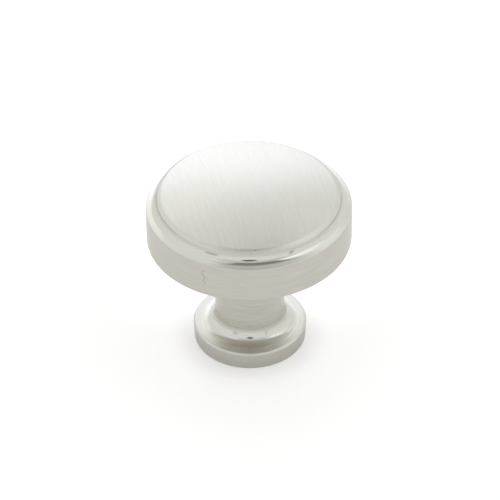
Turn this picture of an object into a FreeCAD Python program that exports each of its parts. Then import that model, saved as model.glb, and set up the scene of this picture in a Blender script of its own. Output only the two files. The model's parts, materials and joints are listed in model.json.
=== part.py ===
import FreeCAD, Part
import math
import os
import Sketcher

# Cabinet knob, cast in one piece and turned to finish.
#
# The frame's origin is the middle of the foot, on the face that rests on the
# drawer front, and +Z runs along the knob's axis towards the crown.
#
# From the drawer front outwards the form is a short round foot, a hollow flare
# that closes to the neck, a plain neck, and a broad flat head. The head has an
# upright band, a rim, a quarter-round cove above it and a low crown whose edge
# is rolled over. The foot's rim is round, and the other outer edges are broken by
# a small cut, so none is sharp to the hand. A short taper joins the neck to the
# head. A tapped blind hole in the foot takes the drawer screw.

# Driving dimensions, in millimetres and degrees.
SIZES = [
    ("HeadDiameter", 31.75),
    ("HeadStandoff", 19.65),
    ("BandHeight", 6.20),
    ("BandLowerBreak", 0.30),
    ("RimBreak", 0.30),
    ("CoveRadius", 1.45),
    ("EdgeWidth", 0.65),
    ("EdgeRise", 0.52),
    ("EdgeRollRadius", 2.30),
    ("CrownRise", 1.82),
    ("NeckDiameter", 10.82),
    ("NeckTaper", 0.90),
    ("FootDiameter", 17.38),
    ("FootSpread", 0.18),
    ("FootHeight", 3.07),
    ("FootLowerBreak", 0.25),
    ("FootRimRound", 0.42),
    ("FlareRadius", 2.17),
    ("FlareSlope", 2.0),
    ("TapDrillDiameter", 3.454),
    ("TapDrillDepth", 13.0),
    ("DrillPointAngle", 118.0),
    ("MouthDiameter", 4.60),
    ("MouthAngle", 90.0),
]

# An edge is the one sought when its radius and height agree this closely, in millimetres.
NEAR = 0.001

# Which end of a line or arc a sketch constraint takes.
START, END, CENTRE = range(1, 4)
# The sketch's own upright axis, which is the knob's axis, and its level axis, which starts
# at the origin.
AXIS, LEVEL = range(-2, 0)
ORIGIN = (LEVEL, START)

doc = FreeCAD.newDocument("cabinet_knob")


# The sheet of driving dimensions: one row each, with the name as the cell's alias.
def make_sheet(document, rows):
    made = document.addObject("Spreadsheet::Sheet", "Sizes")
    for row, (alias, value) in enumerate(rows, start=1):
        made.set("A%d" % row, alias)
        made.set("B%d" % row, str(value))
        made.setAlias("B%d" % row, alias)
    document.recompute()
    return made


sheet = make_sheet(doc, SIZES)
size = {alias: float(sheet.get(alias)) for alias, value in SIZES}


# A point of the half section: its distance from the axis and its height.
def point(radius, height):
    return FreeCAD.Vector(radius, height, 0.0)


def origin_plane(body, role):
    for feature in body.Origin.OriginFeatures:
        if feature.Role == role:
            return feature
    raise RuntimeError("no origin plane " + role)


def new_sketch(body, name, role):
    sketch = body.newObject("Sketcher::SketchObject", name)
    sketch.AttachmentSupport = [(origin_plane(body, role), "")]
    sketch.MapMode = "FlatFace"
    return sketch


def line(sketch, first, second):
    return sketch.addGeometry(Part.LineSegment(first, second), False)


# An arc that runs anticlockwise about its centre, from one direction in degrees to another.
def arc(sketch, centre, radius, first, last):
    circle = Part.Circle(centre, FreeCAD.Vector(0, 0, 1), radius)
    piece = Part.ArcOfCircle(circle, math.radians(first), math.radians(last))
    return sketch.addGeometry(piece, False)


def direction(centre, target):
    return math.degrees(math.atan2(target.y - centre.y, target.x - centre.x))


# The centre of the arc that rounds a corner, and the points where the arc starts and ends.
def round_corner(before, corner, after, radius):
    back = (before - corner).normalize()
    forth = (after - corner).normalize()
    half = back.getAngle(forth) / 2
    reach = radius / math.tan(half)
    centre = corner + (back + forth).normalize() * (radius / math.sin(half))
    return centre, corner + back * reach, corner + forth * reach


# Adds constraints of one kind, such as Coincident or Tangent, one for each tuple.
def tie(sketch, kind, *links):
    for link in links:
        sketch.addConstraint(Sketcher.Constraint(kind, *link))


# A named sketch dimension that follows the sheet.
def drive(sketch, name, constraint, expression):
    index = sketch.addConstraint(constraint)
    sketch.renameConstraint(index, name)
    sketch.setExpression("Constraints." + name, expression)


# The foot, its flare and the neck, as half a section beside the axis.
def draw_foot_and_neck(sketch):
    foot = size["FootDiameter"] / 2
    rim = foot + size["FootSpread"]
    neck = size["NeckDiameter"] / 2
    height = size["FootHeight"]
    slope = math.radians(size["FlareSlope"])
    top = size["HeadStandoff"]
    # The flare leaves the foot a ledge at least twice as wide as the rounding of its rim.
    room = (rim - neck - 2 * size["FootRimRound"]) / (1 - math.sin(slope))
    flare = min(size["FlareRadius"], room)

    # The foot's upper face rises gently from its rim and runs into the flare.
    meet_radius = neck + flare * (1 - math.sin(slope))
    meet_height = height + (rim - meet_radius) * math.tan(slope)
    centre = point(neck + flare, meet_height + flare * math.cos(slope))
    meet = point(meet_radius, meet_height)

    # The corner where band and ledge would meet is kept as a mark, and rounded.
    corner = point(rim, height)
    rim_centre, below, beside = round_corner(point(foot, 0), corner, meet,
                                             size["FootRimRound"])

    face = line(sketch, point(0, 0), point(foot, 0))
    band = line(sketch, point(foot, 0), below)
    bend = arc(sketch, rim_centre, size["FootRimRound"],
               direction(rim_centre, below), direction(rim_centre, beside))
    ledge = line(sketch, beside, meet)
    mark = sketch.addGeometry(Part.Point(corner), True)
    curve = arc(sketch, centre, flare, 180, 270 - size["FlareSlope"])
    side = line(sketch, point(neck, centre.y), point(neck, top))
    cap = line(sketch, point(neck, top), point(0, top))
    middle = line(sketch, point(0, top), point(0, 0))

    tie(sketch, "Coincident", (face, START, *ORIGIN), (face, END, band, START),
        (side, END, cap, START), (cap, END, middle, START), (middle, END, face, START))
    tie(sketch, "PointOnObject", (mark, START, band), (mark, START, ledge))
    tie(sketch, "Tangent", (band, END, bend, START), (bend, END, ledge, START),
        (ledge, END, curve, END), (curve, START, side, START))
    tie(sketch, "Horizontal", (face,), (cap,))
    tie(sketch, "Vertical", (side,), (middle,))

    drive(sketch, "FootRadius",
          Sketcher.Constraint("DistanceX", face, START, face, END, foot),
          "Sizes.FootDiameter / 2")
    drive(sketch, "Spread",
          Sketcher.Constraint("DistanceX", band, START, mark, START, size["FootSpread"]),
          "Sizes.FootSpread")
    drive(sketch, "Height",
          Sketcher.Constraint("DistanceY", band, START, mark, START, height),
          "Sizes.FootHeight")
    drive(sketch, "RimRound",
          Sketcher.Constraint("Radius", bend, size["FootRimRound"]),
          "Sizes.FootRimRound")
    drive(sketch, "Slope",
          Sketcher.Constraint("Angle", ledge, math.pi - slope),
          "180 deg - Sizes.FlareSlope * 1 deg")
    drive(sketch, "Flare",
          Sketcher.Constraint("Radius", curve, flare),
          "min(Sizes.FlareRadius; (Sizes.FootDiameter / 2 + Sizes.FootSpread"
          " - Sizes.NeckDiameter / 2 - 2 * Sizes.FootRimRound)"
          " / (1 - sin(Sizes.FlareSlope * 1 deg)))")
    drive(sketch, "NeckRadius",
          Sketcher.Constraint("DistanceX", *ORIGIN, side, END, neck),
          "Sizes.NeckDiameter / 2")
    drive(sketch, "Standoff",
          Sketcher.Constraint("DistanceY", *ORIGIN, side, END, top),
          "Sizes.HeadStandoff")


# The head: underside, band, broken rim, cove, rolled edge and crown.
def draw_head(sketch):
    outer = size["HeadDiameter"] / 2
    low = size["HeadStandoff"]
    cut = size["RimBreak"]
    cove = size["CoveRadius"]
    high = low + size["BandHeight"]
    roll = size["EdgeRollRadius"]

    foot_of_edge = point(outer - cut - cove, high + cove)
    top_of_edge = point(foot_of_edge.x - size["EdgeWidth"], foot_of_edge.y + size["EdgeRise"])
    chord = top_of_edge - foot_of_edge
    half = chord.Length / 2
    inward = FreeCAD.Vector(-chord.y, chord.x, 0)
    inward.normalize()
    if inward.x > 0:
        inward = inward * -1
    roll_centre = foot_of_edge + chord * 0.5 + inward * math.sqrt(roll ** 2 - half ** 2)

    apex = point(0, top_of_edge.y + size["CrownRise"])
    crown = (top_of_edge.x ** 2 + size["CrownRise"] ** 2) / (2 * size["CrownRise"])
    crown_centre = point(0, apex.y - crown)

    underside = line(sketch, point(0, low), point(outer, low))
    band = line(sketch, point(outer, low), point(outer, high - cut))
    rim = line(sketch, point(outer, high - cut), point(outer - cut, high))
    hollow = arc(sketch, point(outer - cut, high + cove), cove, 180, 270)
    edge = arc(sketch, roll_centre, roll, direction(roll_centre, foot_of_edge),
               direction(roll_centre, top_of_edge))
    dome = arc(sketch, crown_centre, crown, direction(crown_centre, top_of_edge), 90)
    middle = line(sketch, apex, point(0, low))

    tie(sketch, "Coincident", (underside, END, band, START), (band, END, rim, START),
        (rim, END, hollow, END), (hollow, START, edge, START), (edge, END, dome, START),
        (dome, END, middle, START), (middle, END, underside, START))
    tie(sketch, "Horizontal", (underside,))
    tie(sketch, "Vertical", (band,), (middle,))
    tie(sketch, "PointOnObject", (underside, START, AXIS), (dome, CENTRE, AXIS))
    # The cove leaves the crown's edge straight down, so its centre is level with its start.
    tie(sketch, "Horizontal", (hollow, START, hollow, CENTRE))
    tie(sketch, "Vertical", (hollow, END, hollow, CENTRE))

    drive(sketch, "Standoff",
          Sketcher.Constraint("DistanceY", *ORIGIN, underside, START, low),
          "Sizes.HeadStandoff")
    drive(sketch, "HeadRadius",
          Sketcher.Constraint("DistanceX", underside, START, underside, END, outer),
          "Sizes.HeadDiameter / 2")
    drive(sketch, "BandHeight",
          Sketcher.Constraint("DistanceY", underside, START, rim, END, size["BandHeight"]),
          "Sizes.BandHeight")
    drive(sketch, "RimInward",
          Sketcher.Constraint("DistanceX", rim, END, rim, START, cut),
          "Sizes.RimBreak")
    drive(sketch, "RimUpward",
          Sketcher.Constraint("DistanceY", rim, START, rim, END, cut),
          "Sizes.RimBreak")
    drive(sketch, "Cove",
          Sketcher.Constraint("Radius", hollow, cove),
          "Sizes.CoveRadius")
    drive(sketch, "EdgeWidth",
          Sketcher.Constraint("DistanceX", edge, END, edge, START, size["EdgeWidth"]),
          "Sizes.EdgeWidth")
    drive(sketch, "EdgeRise",
          Sketcher.Constraint("DistanceY", edge, START, edge, END, size["EdgeRise"]),
          "Sizes.EdgeRise")
    drive(sketch, "EdgeRoll",
          Sketcher.Constraint("Radius", edge, roll),
          "Sizes.EdgeRollRadius")
    drive(sketch, "CrownRise",
          Sketcher.Constraint("DistanceY", dome, START, dome, END, size["CrownRise"]),
          "Sizes.CrownRise")


def revolve(body, name, sketch):
    turned = body.newObject("PartDesign::Revolution", name)
    turned.Profile = sketch
    turned.ReferenceAxis = (sketch, ["V_Axis"])
    turned.Angle = 360
    sketch.Document.recompute()
    return turned


# The name of the round edge of a shape at a given radius and height.
def round_edge(shape, radius, height):
    for number, candidate in enumerate(shape.Edges, start=1):
        if candidate.Degenerated or not isinstance(candidate.Curve, Part.Circle):
            continue
        same_radius = abs(candidate.Curve.Radius - radius) < NEAR
        same_height = abs(candidate.Curve.Center.z - height) < NEAR
        if same_radius and same_height:
            return "Edge%d" % number
    raise RuntimeError("no round edge at radius %.3f, height %.3f" % (radius, height))


# Cuts off one circular edge of the last feature, or fills it where the corner is hollow.
def bevel_edge(body, name, radius, height, alias):
    base = body.Tip
    bevel = body.newObject("PartDesign::Chamfer", name)
    bevel.Base = (base, [round_edge(base.Shape, radius, height)])
    bevel.setExpression("Size", "Sizes." + alias)
    body.Document.recompute()
    return bevel


# The tapped hole's drilled form, with a countersunk mouth on the foot's face.
def drill_foot(body):
    sketch = new_sketch(body, "hole_centre", "XY_Plane")
    circle = Part.Circle(point(0, 0), FreeCAD.Vector(0, 0, 1), size["TapDrillDiameter"] / 2)
    centre = sketch.addGeometry(circle, False)
    tie(sketch, "Coincident", (centre, CENTRE, *ORIGIN))
    drive(sketch, "Diameter",
          Sketcher.Constraint("Diameter", centre, size["TapDrillDiameter"]),
          "Sizes.TapDrillDiameter")
    body.Document.recompute()
    before = body.Shape.Volume
    hole = body.newObject("PartDesign::Hole", "screw_hole")
    hole.Profile = sketch
    hole.Reversed = True
    hole.ThreadType = "None"
    hole.DepthType = "Dimension"
    hole.setExpression("Diameter", "Sizes.TapDrillDiameter")
    hole.setExpression("Depth", "Sizes.TapDrillDepth")
    hole.DrillPoint = "Angled"
    hole.setExpression("DrillPointAngle", "Sizes.DrillPointAngle * 1 deg")
    hole.HoleCutType = "Countersink"
    hole.HoleCutCustomValues = True
    hole.setExpression("HoleCutDiameter", "Sizes.MouthDiameter")
    hole.setExpression("HoleCutCountersinkAngle", "Sizes.MouthAngle * 1 deg")
    body.Document.recompute()
    drilled = math.pi * size["TapDrillDiameter"] ** 2 / 4 * size["TapDrillDepth"]
    if before - body.Shape.Volume < drilled:
        raise RuntimeError("the screw hole is missing or short")
    return hole


# The whole knob: two turned forms in one body, then their edges and the hole.
def make_knob(document):
    body = document.addObject("PartDesign::Body", "knob")
    body.Label = "knob"

    section = new_sketch(body, "foot_and_neck_section", "XZ_Plane")
    draw_foot_and_neck(section)
    document.recompute()
    revolve(body, "foot_and_neck", section)

    section = new_sketch(body, "head_section", "XZ_Plane")
    draw_head(section)
    document.recompute()
    revolve(body, "head", section)

    head = size["HeadDiameter"] / 2
    neck = size["NeckDiameter"] / 2
    foot = size["FootDiameter"] / 2
    low = size["HeadStandoff"]
    bevel_edge(body, "neck_taper", neck, low, "NeckTaper")
    bevel_edge(body, "band_lower_break", head, low, "BandLowerBreak")
    bevel_edge(body, "foot_lower_break", foot, 0.0, "FootLowerBreak")
    drill_foot(body)
    return body


# Every object of the document, and every sub-part's solid, has to be sound.
def check(document, bodies):
    for item in document.Objects:
        if "Invalid" in item.State or "Error" in item.State:
            raise RuntimeError(item.Name + " did not compute")
    for body in bodies:
        if body.Shape.isNull() or not body.Shape.isValid():
            raise RuntimeError(body.Label + " is not a valid shape")
        if len(body.Shape.Solids) != 1:
            raise RuntimeError(body.Label + " is not one solid")


bodies = [make_knob(doc)]
doc.recompute()
check(doc, bodies)

os.makedirs("parts", exist_ok=True)
for body in bodies:
    body.Shape.exportStep("parts/" + body.Label + ".step")
    box = body.Shape.optimalBoundingBox(False)
    print("%s: %.2f x %.2f x %.2f mm, %.1f mm3"
          % (body.Label, box.XLength, box.YLength, box.ZLength, body.Shape.Volume))
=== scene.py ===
# %% [markdown]
# # A cabinet knob in satin nickel
# The real object is one casting: a short foot, a plain neck and a broad flat head, turned
# clean on a lathe, plated with nickel and brushed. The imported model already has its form,
# so this lesson loads it as the frame that every new piece has to fit.

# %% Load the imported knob
import json
import math
import bmesh
import bpy
from mathutils import Matrix, Vector

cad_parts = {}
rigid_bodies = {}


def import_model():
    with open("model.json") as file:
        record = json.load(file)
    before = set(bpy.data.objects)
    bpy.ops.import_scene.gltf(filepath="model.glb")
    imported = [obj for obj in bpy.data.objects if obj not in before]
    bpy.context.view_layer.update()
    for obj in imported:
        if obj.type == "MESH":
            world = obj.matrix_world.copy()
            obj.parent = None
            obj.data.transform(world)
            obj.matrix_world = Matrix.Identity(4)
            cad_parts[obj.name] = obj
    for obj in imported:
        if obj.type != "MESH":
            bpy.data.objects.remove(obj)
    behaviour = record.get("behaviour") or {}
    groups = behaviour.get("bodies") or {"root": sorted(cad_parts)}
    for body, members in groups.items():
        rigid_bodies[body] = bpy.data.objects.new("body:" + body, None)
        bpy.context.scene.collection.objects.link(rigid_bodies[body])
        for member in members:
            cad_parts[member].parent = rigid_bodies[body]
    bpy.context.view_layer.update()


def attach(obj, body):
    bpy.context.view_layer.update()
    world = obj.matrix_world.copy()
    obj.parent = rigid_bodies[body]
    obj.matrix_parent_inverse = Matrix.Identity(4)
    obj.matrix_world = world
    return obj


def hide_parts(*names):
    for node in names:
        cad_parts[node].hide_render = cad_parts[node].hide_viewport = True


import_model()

MM = 0.001

# %% [markdown]
# ## Arcs for the outline
# A turned form is known by half of its section, so the knob is drawn as one line of points
# at one side of its axis. Straight runs need two points, and an arc needs enough points
# that its facets are too small to see. The drawing of a turned part is made of arcs about a
# centre, arcs through two points and rounded corners, so there is one helper for each.

# %% Arcs of the half section
QUARTER = math.pi / 2
ARC_STEP, FEWEST_FACETS = math.radians(5), 3


# Points are radius and height in millimetres, and turns are counterclockwise from outwards.
def arc(centre, radius, first, last):
    count = max(FEWEST_FACETS, math.ceil(abs(last - first) / ARC_STEP))
    turns = [first + (last - first) * step / count for step in range(count + 1)]
    return [(centre[0] + radius * math.cos(turn), centre[1] + radius * math.sin(turn))
            for turn in turns]


# An arc between two points that bulges to the right of the way from the first to the second.
def arc_between(first, second, radius):
    start, end = Vector(first), Vector(second)
    chord = end - start
    inward = Vector((-chord.y, chord.x)).normalized()
    centre = (start + end) / 2 + inward * math.sqrt(radius ** 2 - (chord.length / 2) ** 2)
    turn = [math.atan2(*(target - centre).yx) for target in (start, end)]
    return arc(centre, radius, *turn)


# A rounded corner: the arc that touches the two lines that meet at the corner.
def rounded(before, corner, after, radius):
    corner = Vector(corner)
    back = (Vector(before) - corner).normalized()
    forth = (Vector(after) - corner).normalized()
    half = back.angle(forth) / 2
    centre = corner + (back + forth).normalized() * radius / math.sin(half)
    reach = radius / math.tan(half)
    turn = [math.atan2(*(corner + way * reach - centre).yx) for way in (back, forth)]
    if turn[1] - turn[0] > math.pi:
        turn[1] -= math.tau
    if turn[0] - turn[1] > math.pi:
        turn[1] += math.tau
    return arc(centre, radius, *turn)


# %% [markdown]
# ## The foot and the hole for the screw
# The foot is a low disc that rests on the drawer front. Its edge leans out a little, its
# rim is rounded, and a hollow flare leads up to the neck. The bore is drawn at the thread's
# outer diameter, because the ridge of the thread is laid on it later.

# %% The bore, from the drill's point to its countersunk mouth
THREAD_MAJOR, MOUTH = 2.083, 2.30
BORE_DEPTH, POINT_ANGLE = 13.0, math.radians(118)
drill_tip = BORE_DEPTH + THREAD_MAJOR / math.tan(POINT_ANGLE / 2)
bore = [(0, drill_tip), (THREAD_MAJOR, BORE_DEPTH), (THREAD_MAJOR, MOUTH - THREAD_MAJOR),
        (MOUTH, 0)]
print("the bore is %.1f mm deep at its tip" % drill_tip)

# %% The foot's edge and its flare
FOOT, FOOT_RIM, FOOT_HEIGHT, NECK = 8.69, 8.87, 3.07, 5.41
FOOT_EASE, FOOT_RIM_EASE = 0.25, 0.42
FLARE, FLARE_SLOPE = 2.17, math.radians(2.0)
flare_reach = FLARE * (1 - math.sin(FLARE_SLOPE))
ledge_rise = (FOOT_RIM - NECK - flare_reach) * math.tan(FLARE_SLOPE)
meet = (NECK + flare_reach, FOOT_HEIGHT + ledge_rise)
flare_centre = (NECK + FLARE, meet[1] + FLARE * math.cos(FLARE_SLOPE))
foot_low = rounded((MOUTH, 0), (FOOT, 0), (FOOT_RIM, FOOT_HEIGHT), FOOT_EASE)
foot_rim = rounded((FOOT, 0), (FOOT_RIM, FOOT_HEIGHT), meet, FOOT_RIM_EASE)
flare = arc(flare_centre, FLARE, 3 * QUARTER - FLARE_SLOPE, 2 * QUARTER)
half_flare = len(flare) // 2
print("foot %.2f mm across, the flare meets it at %.2f mm" % (2 * FOOT_RIM, meet[0]))

# %% [markdown]
# ## The head
# The head has a flat underside and an upright band. Above the band a narrow lip slopes in
# to a cove, a hollow that a round-nosed tool leaves. The crown rises over the cove with a
# rolled edge, and its top is a shallow dome.

# %% The underside and the band
HEAD, STANDOFF, NECK_FILLET, EASE = 15.875, 19.65, 1.20, 0.30
neck_fillet = arc((NECK + NECK_FILLET, STANDOFF - NECK_FILLET), NECK_FILLET,
                  2 * QUARTER, QUARTER)
band_low = arc((HEAD - EASE, STANDOFF + EASE), EASE, -QUARTER, 0)
print("head %.2f mm across" % (2 * HEAD))

# %% The lip and the cove
BAND_TOP, COVE, LIP_SLOPE, LIP_EASE = 25.85, 1.45, math.radians(15), 0.06
cove = arc((HEAD - EASE, BAND_TOP + COVE), COVE, 3 * QUARTER - LIP_SLOPE, 2 * QUARTER)
lip_height = cove[0][1] - (HEAD - cove[0][0]) * math.tan(LIP_SLOPE)
band_rim = rounded((HEAD, STANDOFF), (HEAD, lip_height), cove[0], LIP_EASE)
print("the band ends at %.2f mm" % lip_height)

# %% The crown and its rolled edge
ROLL, CROWN_EDGE, CROWN_EDGE_Z, CROWN_TOP = 2.30, 13.475, 27.82, 29.64
CROWN_RINGS = 28
roll = arc_between(cove[-1], (CROWN_EDGE, CROWN_EDGE_Z), ROLL)
crown_radius = (CROWN_EDGE ** 2 + (CROWN_TOP - CROWN_EDGE_Z) ** 2) / 2
crown_radius = crown_radius / (CROWN_TOP - CROWN_EDGE_Z)
crown_turn = math.acos(CROWN_EDGE / crown_radius)
crown = [(crown_radius * math.cos(turn), CROWN_TOP - crown_radius * (1 - math.sin(turn)))
         for turn in [crown_turn + (QUARTER - crown_turn) * ring / CROWN_RINGS
                      for ring in range(CROWN_RINGS + 1)]]
print("projection %.2f mm, the dome's radius %.1f mm" % (CROWN_TOP, crown_radius))

# %% [markdown]
# ## Finishes along the outline
# The lathe left rings on most of the knob. The crown and its rolled edge were brushed
# straight across afterwards, and the bore stayed bare. Abrasive doesn't reach well into a
# hollow, so the flare and the cove are smoother than the rest. The runs are put in one
# chain, which starts at the drill's point, comes out of the mouth, goes round the outside
# and ends on top of the crown.

# %% The chain, run by run
TURNED, STRAIGHT, BARE = range(3)
SATIN, SOFT, GLOSS, SHINE = 0.36, 0.27, 0.14, 0.11
# Each run has its finish, its roughness at both ends, how plainly the painted shade and
# sheen of its scratches show, and its points.
chain = [
    (BARE, SATIN, SATIN, 1.0, bore),
    (TURNED, SATIN, SATIN, 0.6, [(MOUTH, 0), foot_low[0]]),
    (TURNED, SATIN, SATIN, 0.7, foot_low + foot_rim[:1]),
    (TURNED, SATIN, SATIN, 0.7, foot_rim),
    (TURNED, SATIN, SOFT, 1.0, [foot_rim[-1], meet]),
    (TURNED, SOFT, GLOSS, 1.0, flare[:half_flare + 1]),
    (TURNED, GLOSS, SOFT, 1.0, flare[half_flare:]),
    (TURNED, SOFT, SATIN, 2.6, [flare[-1], neck_fillet[0]]),
    (TURNED, SATIN, SOFT, 0.8, neck_fillet),
    (TURNED, SATIN, SATIN, 0.6, [neck_fillet[-1], band_low[0]]),
    (TURNED, SATIN, SATIN, 0.8, band_low + band_rim[:1]),
    (TURNED, SATIN, SOFT, 0.5, band_rim),
    (TURNED, SOFT, SHINE, 0.3, [band_rim[-1], cove[0]]),
    (TURNED, SHINE, SHINE, 0.2, cove),
    (STRAIGHT, SATIN, SATIN, 0.6, roll),
    (STRAIGHT, SATIN, SATIN, 0.7, crown),
]
print("runs:", len(chain), "points:", sum(len(run[-1]) for run in chain))

# %% [markdown]
# ## Turning the knob
# The spin operator does what the lathe does: it carries the chain round the axis. Each
# point first gets its distance along the section, its roughness and the strength of its
# scratches' painted shade and sheen, and spin copies them round with it. The materials read
# the distance to lay their rings at one spacing on flat, upright and curved parts alike, and
# it also tells which run, and so which finish, a face belongs to.

# %% Draw the chain
SAME_PLACE = 0.0001 * MM
shape = bmesh.new()
along = shape.verts.layers.float.new("along_section")
polish = shape.verts.layers.float.new("polish")
painted_streaks = shape.verts.layers.float.new("painted_streaks")
verts, ends, travelled = [], [], 0.0
for finish, first_rough, last_rough, strength, points in chain:
    for index, (radius, height) in enumerate(points):
        place = Vector((radius * MM, 0, height * MM))
        step = (place - verts[-1].co).length if verts else 0.0
        if verts and step < SAME_PLACE:
            continue
        travelled += step
        verts.append(shape.verts.new(place))
        verts[-1][along] = travelled
        share = index / (len(points) - 1)
        verts[-1][polish] = first_rough + (last_rough - first_rough) * share
        verts[-1][painted_streaks] = strength
    ends.append((travelled, finish))
edges = [shape.edges.new(pair) for pair in zip(verts, verts[1:])]
print("length of the section: %.1f mm" % (travelled / MM))

# %% Spin it round the axis and close the poles
STEPS = 256
bmesh.ops.spin(shape, geom=verts + edges, cent=(0, 0, 0), axis=(0, 0, 1), dvec=(0, 0, 0),
               angle=math.tau, steps=STEPS, use_merge=True, use_normal_flip=False,
               use_duplicate=False)
bmesh.ops.remove_doubles(shape, verts=shape.verts, dist=SAME_PLACE)
bmesh.ops.recalc_face_normals(shape, faces=shape.faces)
for face in shape.faces:
    middle = sum(vert[along] for vert in face.verts) / len(face.verts)
    face.material_index = next(finish for end, finish in ends if middle < end)
    face.smooth = True
print("turned faces:", len(shape.faces))

# %% [markdown]
# A smooth shape still has a few crisp lines, such as the one where the cove meets the
# crown's edge. Edges where the surface turns by more than a facet does are marked sharp.

# %% Mark the crisp lines
CRISP = math.radians(9)
crisp = [edge for edge in shape.edges if edge.calc_face_angle(0) > CRISP]
for edge in crisp:
    edge.smooth = False
print("crisp edges:", len(crisp), "open edges:", sum(edge.is_boundary for edge in shape.edges))


# %% Make the knob's object
def make_object(name, shape):
    mesh = bpy.data.meshes.new(name)
    shape.to_mesh(mesh)
    shape.free()
    made = bpy.data.objects.new(name, mesh)
    bpy.context.scene.collection.objects.link(made)
    print(name, "polygons:", len(mesh.polygons))
    return made


knob = make_object("turned_knob", shape)

# %% [markdown]
# ## The screw thread
# The drawer screw is held by a coarse thread of 32 turns to the inch. A thread is a small
# ridge carried round and up at once, and spin does that too when each step also moves the
# shape a little along the axis. Its base is sunk a hair into the wall of the bore, and its
# flanks and its flat crest are shares of the pitch, as in every thread of this kind.

# %% Spin the ridge of the thread
THREAD_MINOR, PITCH, SUNK, THREAD_START = 1.727, 0.794, 0.03, 1.0
BASE_HALF, CREST_HALF = 0.46, 0.06
STEPS_PER_TURN, TURNS = 48, 14
ridge = [(THREAD_MAJOR + SUNK, -BASE_HALF * PITCH), (THREAD_MINOR, -CREST_HALF * PITCH),
         (THREAD_MINOR, CREST_HALF * PITCH), (THREAD_MAJOR + SUNK, BASE_HALF * PITCH)]
shape = bmesh.new()
verts = [shape.verts.new((radius * MM, 0, (THREAD_START + height) * MM))
         for radius, height in ridge]
section = shape.faces.new(verts)
bmesh.ops.spin(shape, geom=[section], cent=(0, 0, 0), axis=(0, 0, 1),
               dvec=(0, 0, PITCH / STEPS_PER_TURN * MM), angle=math.tau * TURNS,
               steps=STEPS_PER_TURN * TURNS, use_merge=False, use_normal_flip=False,
               use_duplicate=False)
bmesh.ops.holes_fill(shape, edges=shape.edges, sides=0)
bmesh.ops.recalc_face_normals(shape, faces=shape.faces)
thread = make_object("screw_thread", shape)

# %% [markdown]
# ## Colour
# A screen's colours are written as hex values on the sRGB curve, and a shader wants linear
# light, so one function turns the first into the second.


# %% From a hex value to linear light
def linear(code):
    channels = [int(code[place:place + 2], 16) / 255 for place in (1, 3, 5)]
    return tuple(c / 12.92 if c <= 0.04045 else ((c + 0.055) / 1.055) ** 2.4
                 for c in channels) + (1.0,)


# %% [markdown]
# One small function adds a node: it sets the node's options, and gives each input either a
# plain value or a link from another node's output.


# %% Add a node with its settings and links
def add(tree, kind, inputs=None, **options):
    made = tree.nodes.new(kind)
    for name, value in options.items():
        setattr(made, name, value)
    for name, value in (inputs or {}).items():
        if isinstance(value, bpy.types.NodeSocket):
            tree.links.new(value, made.inputs[name])
        else:
            made.inputs[name].default_value = value
    return made


def new_material(name):
    material = bpy.data.materials.new(name)
    material.use_nodes = True
    material.node_tree.nodes.clear()
    return material, material.node_tree


# %% [markdown]
# ## Satin nickel plating
# Nickel is a white metal with a slight yellow warmth. A satin finish is made by brushing
# it with fine abrasive, and each scratch spreads a reflection across itself but not along
# itself. The shader's anisotropy gives that stretched gloss, turned a quarter so that it
# runs across the scratches, and a fine noise, drawn out along them, gives the scratches as
# a bump and as painted shade and sheen in the colour.
# Real ones are a few hundredths of a millimetre wide, which is too fine to show, so they
# are drawn three to five times as coarse, 0.14 to 0.20 mm.

# %% Scratches, as a height for the bump and as painted shade and sheen in the colour
# The two tones are the nickel in painted shade and in painted sheen.
NICKEL_PAINTED_SHADE, NICKEL_PAINTED_SHEEN = "#C8C5BC", "#DCD9D2"
DETAIL, NOISE_ROUGHNESS = 3.0, 0.6
FLOOR_OF_SCRATCH, TOP_OF_SCRATCH = 0.2, 0.8


# The noise repeats at one length, in millimetres, along each axis of the given place.
def scratched(tree, place, lengths, depth):
    scale = tuple(1 / (length * MM) for length in lengths)
    mapped = add(tree, "ShaderNodeMapping", {0: place, 3: scale})
    lines = add(tree, "ShaderNodeTexNoise", {"Vector": mapped.outputs[0], "Scale": 1.0,
                                             "Detail": DETAIL,
                                             "Roughness": NOISE_ROUGHNESS})
    bump = add(tree, "ShaderNodeBump", {"Strength": 1.0, "Distance": depth * MM,
                                        "Height": lines.outputs["Fac"]})
    return lines.outputs["Fac"], bump.outputs[0]


# The colour follows the scratches' height: painted shade darkens their floors and a painted
# sheen lightens their tops.
def painted_scratch_shading(tree, lines):
    strength = add(tree, "ShaderNodeAttribute", attribute_name="painted_streaks")
    height = add(tree, "ShaderNodeMath", {0: lines, 1: 0.5}, operation="SUBTRACT")
    share = add(tree, "ShaderNodeMath", {0: height.outputs[0],
                                         1: strength.outputs["Fac"], 2: 0.5},
                operation="MULTIPLY_ADD")
    clear = add(tree, "ShaderNodeMapRange", {"Value": share.outputs[0],
                                             "From Min": FLOOR_OF_SCRATCH,
                                             "From Max": TOP_OF_SCRATCH})
    colour = add(tree, "ShaderNodeMix", {0: clear.outputs[0], 6: linear(NICKEL_PAINTED_SHADE),
                                         7: linear(NICKEL_PAINTED_SHEEN)}, data_type="RGBA")
    return colour.outputs[2]


# %% The finish that the lathe's rings give
RING_LENGTH = 4
STRETCH_IN_HOLLOWS, STRETCH_ON_FACES = 0.2, 0.5


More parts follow.
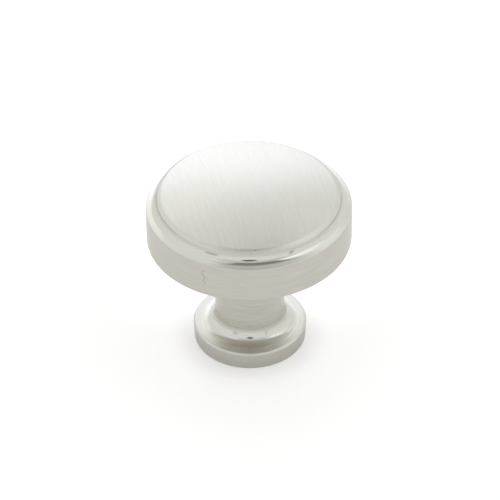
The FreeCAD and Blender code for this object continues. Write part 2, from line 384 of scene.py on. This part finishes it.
# Across the rings the noise repeats at the width of a line, and along them it is slow.
def turned_metal(name, line, line_depth):
    material, tree = new_material(name)
    place = add(tree, "ShaderNodeTexCoord")
    parts = add(tree, "ShaderNodeSeparateXYZ", {0: place.outputs["Object"]})
    distance = add(tree, "ShaderNodeAttribute", attribute_name="along_section")
    spread = add(tree, "ShaderNodeCombineXYZ", {0: parts.outputs[0], 1: parts.outputs[1],
                                                2: distance.outputs["Fac"]})
    lines, bump = scratched(tree, spread.outputs[0], (RING_LENGTH, RING_LENGTH, line),
                            line_depth)
    polish = add(tree, "ShaderNodeAttribute", attribute_name="polish")
    stretch = add(tree, "ShaderNodeMapRange", {"Value": polish.outputs["Fac"],
                                               "From Min": SHINE, "From Max": SATIN,
                                               "To Min": STRETCH_IN_HOLLOWS,
                                               "To Max": STRETCH_ON_FACES})
    tangent = add(tree, "ShaderNodeTangent", direction_type="RADIAL", axis="Z")
    shader = add(tree, "ShaderNodeBsdfPrincipled", {
        "Base Color": painted_scratch_shading(tree, lines), "Metallic": 1.0,
        "Roughness": polish.outputs["Fac"],
        "Anisotropic": stretch.outputs[0], "Anisotropic Rotation": 0.25,
        "Tangent": tangent.outputs[0], "Normal": bump})
    add(tree, "ShaderNodeOutputMaterial", {"Surface": shader.outputs[0]})
    return material


# The drill and the tap leave bare zinc, with rings that are wider and less deep.
turned = turned_metal("satin nickel plating, turned", 0.14, 0.0014)
bare = turned_metal("bare zinc of the bore", 0.20, 0.0010)
print("finishes:", turned.name, "and", bare.name)

# %% [markdown]
# ## The crown's straight brushing
# The crown and its rolled edge were brushed last and straight across, from the back left
# to the front right. The scratches are parallel, so the noise is drawn out along one
# direction of the object's own coordinates. The gloss needs a tangent, which comes from a
# flat map that is laid out nearly the same way: the bright fan on the crown lies a few
# degrees further round than the scratches that show.

# %% Lay a flat map along the gloss
BRUSH_TURN, GLOSS_TURN = math.radians(12), math.radians(18)
MAP_SIDE = 40
brush = Vector((math.sin(GLOSS_TURN), -math.cos(GLOSS_TURN), 0))
across = Vector((0, 0, 1)).cross(brush)
flat_map = knob.data.uv_layers.new(name="brushing")
for loop in knob.data.loops:
    point = knob.data.vertices[loop.vertex_index].co
    flat_map.data[loop.index].uv = (point.dot(across) / (MAP_SIDE * MM) + 0.5,
                                    point.dot(brush) / (MAP_SIDE * MM) + 0.5)
print("the gloss runs along", tuple(round(value, 3) for value in brush))

# %% The crown's finish
BRUSH_LENGTH = 5
NOISE_LOW, NOISE_HIGH, GLOSS_CHANGE = 0.3, 0.7, 0.03


def brushed_crown(name, roughness, anisotropy, line, line_depth):
    material, tree = new_material(name)
    place = add(tree, "ShaderNodeTexCoord")
    # After the turn, the scratches run along Y.
    lined_up = add(tree, "ShaderNodeMapping", {0: place.outputs["Object"],
                                               2: (0, 0, -BRUSH_TURN)})
    lines, bump = scratched(tree, lined_up.outputs[0], (line, BRUSH_LENGTH, BRUSH_LENGTH),
                            line_depth)
    gloss = add(tree, "ShaderNodeMapRange", {"Value": lines,
                                             "From Min": NOISE_LOW, "From Max": NOISE_HIGH,
                                             "To Min": roughness - GLOSS_CHANGE,
                                             "To Max": roughness + GLOSS_CHANGE})
    tangent = add(tree, "ShaderNodeTangent", direction_type="UV_MAP", uv_map="brushing")
    shader = add(tree, "ShaderNodeBsdfPrincipled", {
        "Base Color": painted_scratch_shading(tree, lines), "Metallic": 1.0,
        "Roughness": gloss.outputs[0],
        "Anisotropic": anisotropy, "Tangent": tangent.outputs[0],
        "Normal": bump})
    add(tree, "ShaderNodeOutputMaterial", {"Surface": shader.outputs[0]})
    return material


straight = brushed_crown("satin nickel plating, brushed crown", SATIN, 0.6, 0.16, 0.0014)
for material in (turned, straight, bare):
    knob.data.materials.append(material)
thread.data.materials.append(bare)
print("slots of the knob:", [slot.name for slot in knob.data.materials])

# %% [markdown]
# ## Marks of use
# A short curly fibre clings to the band, left of the front. It is a fine tube laid along a
# smooth curve on the band's surface. Two specks of dirt and two bright flecks are tiny
# domes, half sunk in the surface that carries them.

# %% Places on the band, and smooth curves through them
# A place is given by its turn right of the front, in degrees, its radius and its height.
def on_surface(turn, radius, height):
    turn = math.radians(turn)
    return Vector((radius * math.sin(turn), -radius * math.cos(turn), height)) * MM


# The curve goes through every point, and its direction at each follows its neighbours.
def smooth_curve(points, steps):
    padded = [2 * points[0] - points[1]] + points + [2 * points[-1] - points[-2]]
    curve = []
    for a, b, c, d in zip(padded, padded[1:], padded[2:], padded[3:]):
        for step in range(steps):
            t = step / steps
            curve.append((2 * b + (c - a) * t + (2 * a - 5 * b + 4 * c - d) * t ** 2
                          + (3 * b - a - 3 * c + d) * t ** 3) / 2)
    return curve + [points[-1]]


# %% The fibre that clings to the band
FIBRE = [(-25.15, 24.54), (-26.88, 24.12), (-27.26, 23.88), (-26.12, 23.53),
         (-25.48, 23.18), (-25.49, 22.92), (-26.30, 22.59), (-26.20, 22.31),
         (-25.42, 22.09), (-24.64, 21.98)]
FIBRE_RADIUS, FIBRE_SIDES, FIBRE_STEPS = 0.030, 6, 5
line = smooth_curve([on_surface(turn, HEAD, height) for turn, height in FIBRE], FIBRE_STEPS)
shape = bmesh.new()
rings = []
for before, here, after in zip(line[:1] + line, line, line[1:] + line[-1:]):
    outward = Vector((here.x, here.y, 0)).normalized()
    sideways = (after - before).normalized().cross(outward).normalized()
    rings.append([shape.verts.new(here + (sideways * math.cos(math.tau * side / FIBRE_SIDES)
                                          + outward * math.sin(math.tau * side / FIBRE_SIDES))
                                  * FIBRE_RADIUS * MM) for side in range(FIBRE_SIDES)])
for low, high in zip(rings, rings[1:]):
    for side in range(FIBRE_SIDES):
        shape.faces.new((low[side - 1], low[side], high[side], high[side - 1]))
shape.faces.new(rings[0])
shape.faces.new(rings[-1])
bmesh.ops.recalc_face_normals(shape, faces=shape.faces)
for face in shape.faces:
    face.smooth = True
fibre = make_object("clinging_fibre", shape)

# %% Specks of dirt and bright flecks
# Each speck has its place and its radius, in millimetres.
DARK_SPECKS = [((8.429, -2.456, 1.756), 0.14), ((0.91, -13.67, 27.72), 0.07)]
PALE_SPECKS = [((-1.378, -15.815, 23.06), 0.07), ((13.90, -2.08, 27.63), 0.08)]
SPECK_FLATNESS, SPECK_FINENESS = 0.3, 2


def specks(name, places):
    shape = bmesh.new()
    for place, radius in places:
        place = Vector(place) * MM
        outward = Vector((place.x, place.y, 0)).to_track_quat("Z", "Y").to_matrix().to_4x4()
        bmesh.ops.create_icosphere(shape, subdivisions=SPECK_FINENESS, radius=radius * MM,
                                   matrix=Matrix.Translation(place) @ outward
                                   @ Matrix.Diagonal((1, 1, SPECK_FLATNESS, 1)))
    for face in shape.faces:
        face.smooth = True
    return make_object(name, shape)


dark_specks = specks("dark_specks", DARK_SPECKS)
pale_specks = specks("pale_specks", PALE_SPECKS)


# %% The colours of the marks
# Dust, dirt and fibre are dull, with no pattern that shows at their size.
def plain(name, colour, roughness):
    material, tree = new_material(name)
    shader = add(tree, "ShaderNodeBsdfPrincipled", {"Base Color": linear(colour),
                                                    "Roughness": roughness})
    add(tree, "ShaderNodeOutputMaterial", {"Surface": shader.outputs[0]})
    return material


fibre.data.materials.append(plain("brown fibre", "#938A70", 0.6))
dark_specks.data.materials.append(plain("dark dirt", "#4A4640", 0.7))
pale_specks.data.materials.append(plain("pale dust", "#F4F2EC", 0.7))
print("marks:", fibre.name, dark_specks.name, pale_specks.name)

# %% Tell the frame what the pieces are
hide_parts("knob")
pieces = (knob, thread, fibre, dark_specks, pale_specks)
for piece in pieces:
    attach(piece, "root")
print("pieces on the root body:", [piece.name for piece in pieces])

# %% [markdown]
# ## The floor
# The floor is a plain white sheet. It answers the camera with a little light of its own,
# so that it reaches white without more light on the metal, and it keeps the knob's shadow.
# Behind the knob a pool of light is painted into its glow, and close to the foot a painted
# shade darkens it, which the foot reflects.

# %% How bright the floor is, from place to place
FLOOR_LIFT, FLOOR_GLOW = 0.21, 0.17
# The painted pool of light has its middle behind the knob. It is full up to one distance
# from there and gone at the next, in millimetres, as the painted shade is from the knob's
# axis.
PAINTED_POOL_GLOW, PATCH_BACK, PATCH_FULL, PATCH_END = 0.40, 34, 16, 38
PAINTED_SHADE, SHADE_FULL, SHADE_END = 0.10, 9, 13
material, tree = new_material("white floor")
path = add(tree, "ShaderNodeLightPath")
lift = add(tree, "ShaderNodeMath", {0: path.outputs["Is Camera Ray"], 1: FLOOR_LIFT},
           operation="MULTIPLY")
place = add(tree, "ShaderNodeTexCoord")
# A pool of light painted on the floor as extra glow, brightest behind the knob.
from_painted_pool = add(tree, "ShaderNodeVectorMath", {0: place.outputs["Object"],
                                                1: (0, PATCH_BACK * MM, 0)},
                 operation="DISTANCE")
painted_pool = add(tree, "ShaderNodeMapRange", {"Value": from_painted_pool.outputs["Value"],
                                         "From Min": PATCH_FULL * MM,
                                         "From Max": PATCH_END * MM,
                                         "To Min": FLOOR_GLOW + PAINTED_POOL_GLOW,
                                         "To Max": FLOOR_GLOW},
            interpolation_type="SMOOTHSTEP")
# Painted shade: the floor's glow is taken down close to the foot, as a contact shadow.
from_foot = add(tree, "ShaderNodeVectorMath", {0: place.outputs["Object"]},
                operation="LENGTH")
painted_shade = add(tree, "ShaderNodeMapRange", {"Value": from_foot.outputs["Value"],
                                         "From Min": SHADE_FULL * MM,
                                         "From Max": SHADE_END * MM,
                                         "To Min": -PAINTED_SHADE, "To Max": 0.0},
            interpolation_type="SMOOTHSTEP")
print("the patch is %.2f brighter, the shade %.2f darker" % (PAINTED_POOL_GLOW, PAINTED_SHADE))

# %% The floor's own colour, with that light added
FLOOR_HALF = 1.5
lit = add(tree, "ShaderNodeMath", {0: lift.outputs[0], 1: painted_pool.outputs[0]}, operation="ADD")
total = add(tree, "ShaderNodeMath", {0: lit.outputs[0], 1: painted_shade.outputs[0]},
            operation="ADD")
diffuse = add(tree, "ShaderNodeBsdfDiffuse", {"Color": linear("#E1DEDD")})
glow = add(tree, "ShaderNodeEmission", {"Strength": total.outputs[0]})
both = add(tree, "ShaderNodeAddShader", {0: diffuse.outputs[0], 1: glow.outputs[0]})
add(tree, "ShaderNodeOutputMaterial", {"Surface": both.outputs[0]})
shape = bmesh.new()
bmesh.ops.create_grid(shape, x_segments=1, y_segments=1, size=FLOOR_HALF)
floor = make_object("floor", shape)
floor.data.materials.append(material)

# %% [markdown]
# ## The white tent
# The knob stands in a tent of white cloth, which the world gives, brighter where the window
# stands behind it. The camera sees plain white there. The tints are factors on each
# channel's light, so they are linear, and one channel may pass 1.

# %% The cloth and the window behind it
WINDOW = Vector((-0.11, 0.94, 0.32)).normalized()
WINDOW_EDGE, WINDOW_CORE = 0.85, 0.995
CLOTH_GLOW, WINDOW_GLOW, BACKDROP_GLOW = 1.0, 1.66, 1.0
CLOTH_TINT, WINDOW_TINT = (0.966, 1.0, 1.0, 1), (0.967, 1.0, 1.09, 1)
WHITE = (1, 1, 1, 1)
world = bpy.data.worlds.new("white tent")
bpy.context.scene.world = world
world.use_nodes = True
tree = world.node_tree
tree.nodes.clear()
way = add(tree, "ShaderNodeTexCoord")
toward = add(tree, "ShaderNodeVectorMath", {0: way.outputs["Generated"], 1: WINDOW},
             operation="DOT_PRODUCT")
share = add(tree, "ShaderNodeMapRange", {"Value": toward.outputs["Value"],
                                         "From Min": WINDOW_EDGE,
                                         "From Max": WINDOW_CORE},
            interpolation_type="SMOOTHSTEP")
cloth = add(tree, "ShaderNodeBackground", {"Color": CLOTH_TINT, "Strength": CLOTH_GLOW})
window = add(tree, "ShaderNodeBackground", {"Color": WINDOW_TINT, "Strength": WINDOW_GLOW})
backdrop = add(tree, "ShaderNodeBackground", {"Color": WHITE, "Strength": BACKDROP_GLOW})
tent = add(tree, "ShaderNodeMixShader", {0: share.outputs[0], 1: cloth.outputs[0],
                                         2: window.outputs[0]})
path = add(tree, "ShaderNodeLightPath")
light = add(tree, "ShaderNodeMixShader", {0: path.outputs["Is Camera Ray"],
                                          1: tent.outputs[0], 2: backdrop.outputs[0]})
add(tree, "ShaderNodeOutputWorld", {"Surface": light.outputs[0]})
print("the window lies toward", tuple(round(value, 2) for value in WINDOW))

# %% [markdown]
# ## The camera
# The photograph was taken with a long lens from about 39 degrees above the floor. The
# camera's three axes are worked out from that angle, and it is then moved a little aside,
# because the knob isn't quite in the middle of the picture.

# %% Place the camera
ELEVATION, LEAN = 0.6813, 0.0097
REACH, LENS, SENSOR = 0.635, 290.17, 36
# The camera looks past the foot's middle by these shares of the head's radius.
ASIDE, ABOVE = 0.0066, 0.8194
radius = HEAD * MM
side = Vector((1, 0, 0))
up = Vector((0, math.sin(ELEVATION), math.cos(ELEVATION)))
away = Vector((0, -math.cos(ELEVATION), math.sin(ELEVATION)))
eye = away * REACH + side * ASIDE * radius + up * ABOVE * radius
right = side * math.cos(LEAN) - up * math.sin(LEAN)
upright = side * math.sin(LEAN) + up * math.cos(LEAN)
lens = bpy.data.cameras.new("camera")
lens.lens = LENS
lens.sensor_width = SENSOR
lens.clip_start, lens.clip_end = 0.01, 20
camera = bpy.data.objects.new("camera", lens)
pose = Matrix((right, upright, away)).transposed().to_4x4()
pose.translation = eye
camera.matrix_world = pose
bpy.context.scene.collection.objects.link(camera)
bpy.context.scene.camera = camera
print("camera at", tuple(round(value, 4) for value in eye))

# %% [markdown]
# ## What the metal reflects
# Metal shows what it reflects, so the few dark things in such a tent matter as much as the
# lamps: the camera's own front, the gap overhead between two strips of cloth, and two
# stands that hold the tent up. Each is a glowing sheet that the camera doesn't see, so that
# it shows in the knob and lights it, and nowhere else.


# %% Hang a shape in the tent
# It has one strength, or two, and then it fades from the first to the second along an
# axis, between two places on that axis.
def hang(name, shape, strengths, axis=0, fades=(0, 1), tint=WHITE):
    made = make_object(name, shape)
    material, tree = new_material(name)
    strength = strengths[0]
    if len(strengths) > 1:
        place = add(tree, "ShaderNodeTexCoord")
        parts = add(tree, "ShaderNodeSeparateXYZ", {0: place.outputs["Object"]})
        fade = add(tree, "ShaderNodeMapRange", {"Value": parts.outputs[axis],
                                                "From Min": fades[0], "From Max": fades[1],
                                                "To Min": strengths[0],
                                                "To Max": strengths[1]})
        strength = fade.outputs[0]
    glow = add(tree, "ShaderNodeEmission", {"Color": tint, "Strength": strength})
    add(tree, "ShaderNodeOutputMaterial", {"Surface": glow.outputs[0]})
    made.data.materials.append(material)
    made.visible_camera = False


# %% The dark front of the camera
DISC_SIDES = 48


def disc(name, centre, target, radius, strength):
    shape = bmesh.new()
    bmesh.ops.create_circle(shape, cap_ends=True, segments=DISC_SIDES, radius=radius)
    facing = (Vector(target) - Vector(centre)).to_track_quat("Z", "Y").to_matrix()
    bmesh.ops.transform(shape, matrix=Matrix.Translation(centre) @ facing.to_4x4(),
                        verts=shape.verts)
    hang(name, shape, (strength,))


HEAD_MIDDLE, BEHIND_LENS, FRONT_RADIUS, FRONT_GLOW = (0, 0, 0.027), 1.02, 0.082, 0.03
disc("camera_front", away * REACH * BEHIND_LENS, HEAD_MIDDLE, FRONT_RADIUS, FRONT_GLOW)


# %% A sheet of cloth that lies flat overhead
# It has one height and a range of X and of Y, in metres. It fades over its whole length
# where no other places are given.
def sheet(name, height, x_range, y_range, strengths, axis=0, fades=None, tint=CLOTH_TINT):
    shape = bmesh.new()
    bmesh.ops.create_grid(shape, x_segments=1, y_segments=1, size=0.5)
    bmesh.ops.scale(shape, vec=(x_range[1] - x_range[0], y_range[1] - y_range[0], 1),
                    verts=shape.verts)
    middle = (sum(x_range) / 2, sum(y_range) / 2, height)
    bmesh.ops.translate(shape, vec=middle, verts=shape.verts)
    hang(name, shape, strengths, axis, fades or (x_range, y_range)[axis], tint)


# %% Cloth in the shade, above the camera
CLOTH_HEIGHT, SHADED_HEIGHT = 0.53, 0.54
sheet("grey_front", SHADED_HEIGHT, (-0.27, 0.40), (-0.52, -0.215), (0.78,))
sheet("grey_side", SHADED_HEIGHT, (-0.15, 0.22), (-0.215, 0.12), (0.80,))

# %% The gap overhead, which shows the warm dusk of the room
GAP_TINT = (1.0, 0.99, 0.80, 1)
GAP = (-0.088, 0.175)
sheet("overhead_gap", CLOTH_HEIGHT, GAP, (-0.235, 0.03), (0.31,), tint=GAP_TINT)
sheet("overhead_gap_back", CLOTH_HEIGHT, GAP, (0.03, 0.42), (0.31, 0.97), 1, (0.03, 0.26))

# %% Strips of cloth that a lamp lights from behind
RIGHT = (0.205, 0.60)
sheet("right_strip", CLOTH_HEIGHT, RIGHT, (-0.21, -0.03), (1.62, 1.30), 0, (0.205, 0.40))
sheet("right_strip_middle", CLOTH_HEIGHT, RIGHT, (-0.03, 0.12), (1.30,))
sheet("right_strip_back", CLOTH_HEIGHT, RIGHT, (0.12, 0.45), (1.15, 1.10))
sheet("left_back_strip", CLOTH_HEIGHT, (-0.45, -0.08), (0.38, 0.85), (1.20, 1.40), 1)


# %% The two stands that hold the tent, upright on the floor
# A stand is placed by its turn from the front, in degrees, and its distance from the knob.
def stand(name, turn, distance, width, height, strength):
    shape = bmesh.new()
    bmesh.ops.create_grid(shape, x_segments=1, y_segments=1, size=0.5)
    bmesh.ops.scale(shape, vec=(width, height, 1), verts=shape.verts)
    place = (Matrix.Rotation(math.radians(turn), 4, "Z")
             @ Matrix.Translation((0, -distance, height / 2))
             @ Matrix.Rotation(QUARTER, 4, "X"))
    bmesh.ops.transform(shape, matrix=place, verts=shape.verts)
    hang(name, shape, (strength,))


STAND_DISTANCE = 0.50
stand("left_stand", -42, STAND_DISTANCE, 0.12, 0.20, 0.66)
stand("right_stand", 47, STAND_DISTANCE, 0.022, 0.28, 0.30)

# %% Use the standard view transform
bpy.context.scene.view_settings.view_transform = "Standard"
